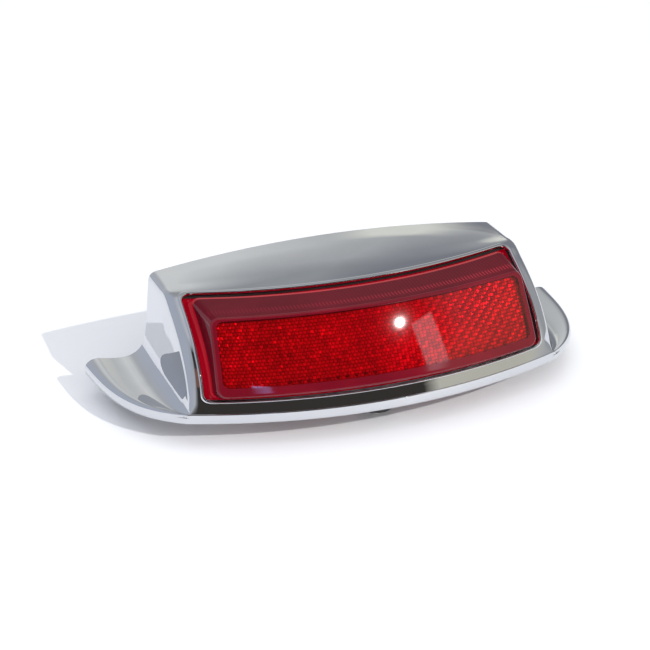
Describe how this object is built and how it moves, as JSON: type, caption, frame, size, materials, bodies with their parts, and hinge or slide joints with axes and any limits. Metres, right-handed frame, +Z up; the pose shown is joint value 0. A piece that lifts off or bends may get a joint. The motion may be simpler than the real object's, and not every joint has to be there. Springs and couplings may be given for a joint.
{
  "type": "motorcycle fender-tip tail light",
  "caption": "Chrome fender-tip lamp housing with a curved red reflex lens, twist-out bulb holders and bolt-on lugs.",
  "frame": {"origin": "middle of the footprint, on the plane the part stands on", "axes": "+X across the vehicle, lens towards -Y, open fender side towards +Y, +Z up as the part lies on a bench"},
  "size_m": [0.196, 0.0698, 0.0514],
  "materials": {
    "chrome_plate": "mirror chrome plate",
    "lens_red": "clear red moulded plastic",
    "reflex_red": "prismatic red plastic",
    "black_rubber": "matt black rubber",
    "tray_white": "satin white paint",
    "connector_nylon": "natural nylon",
    "socket_black": "black moulded plastic",
    "bulb_base": "moulded bulb base",
    "bulb_glass": "clear glass",
    "filament": "tungsten wire",
    "contact_brass": "tinned brass",
    "lead_jacket": "black lead jacket",
    "zinc_steel": "zinc plated"
  },
  "bodies": {
    "lamp": {"chrome_housing": "chrome_plate", "lamp_tray": "tray_white", "lead_connector": "connector_nylon", "lead_left": "lead_jacket", "lead_right": "lead_jacket", "lens_gasket": "black_rubber", "mount_bolt_front": "zinc_steel", "mount_bolt_left": "zinc_steel", "mount_bolt_right": "zinc_steel", "mount_isolator_front": "black_rubber", "mount_isolator_left": "black_rubber", "mount_isolator_right": "black_rubber", "mount_nut_front": "zinc_steel", "mount_nut_left": "zinc_steel", "mount_nut_right": "zinc_steel", "mount_washer_front": "zinc_steel", "mount_washer_left": "zinc_steel", "mount_washer_right": "zinc_steel", "red_lens": "lens_red", "reflex_reflector": "reflex_red", "tray_screw_left_lower": "zinc_steel", "tray_screw_left_upper": "zinc_steel", "tray_screw_right_lower": "zinc_steel", "tray_screw_right_upper": "zinc_steel"},
    "socket_left": {"bulb_base_left": "bulb_base", "bulb_filament_left": "filament", "bulb_glass_left": "bulb_glass", "bulb_socket_left": "socket_black", "contact_lower_left": "contact_brass", "contact_upper_left": "contact_brass", "socket_seal_left": "black_rubber"},
    "socket_right": {"bulb_base_right": "bulb_base", "bulb_filament_right": "filament", "bulb_glass_right": "bulb_glass", "bulb_socket_right": "socket_black", "contact_lower_right": "contact_brass", "contact_upper_right": "contact_brass", "socket_seal_right": "black_rubber"}
  },
  "joints": [
    {"name": "socket_left_twist", "type": "hinge", "parent": "lamp", "child": "socket_left", "pos_m": [-0.033, 0.0005, 0.02479], "axis": [0, -0.6532, 0.7572], "range_deg": [0, 45]},
    {"name": "socket_right_twist", "type": "hinge", "parent": "lamp", "child": "socket_right", "pos_m": [0.033, 0.0005, 0.02479], "axis": [0, -0.6532, 0.7572], "range_deg": [0, 45]}
  ]
}
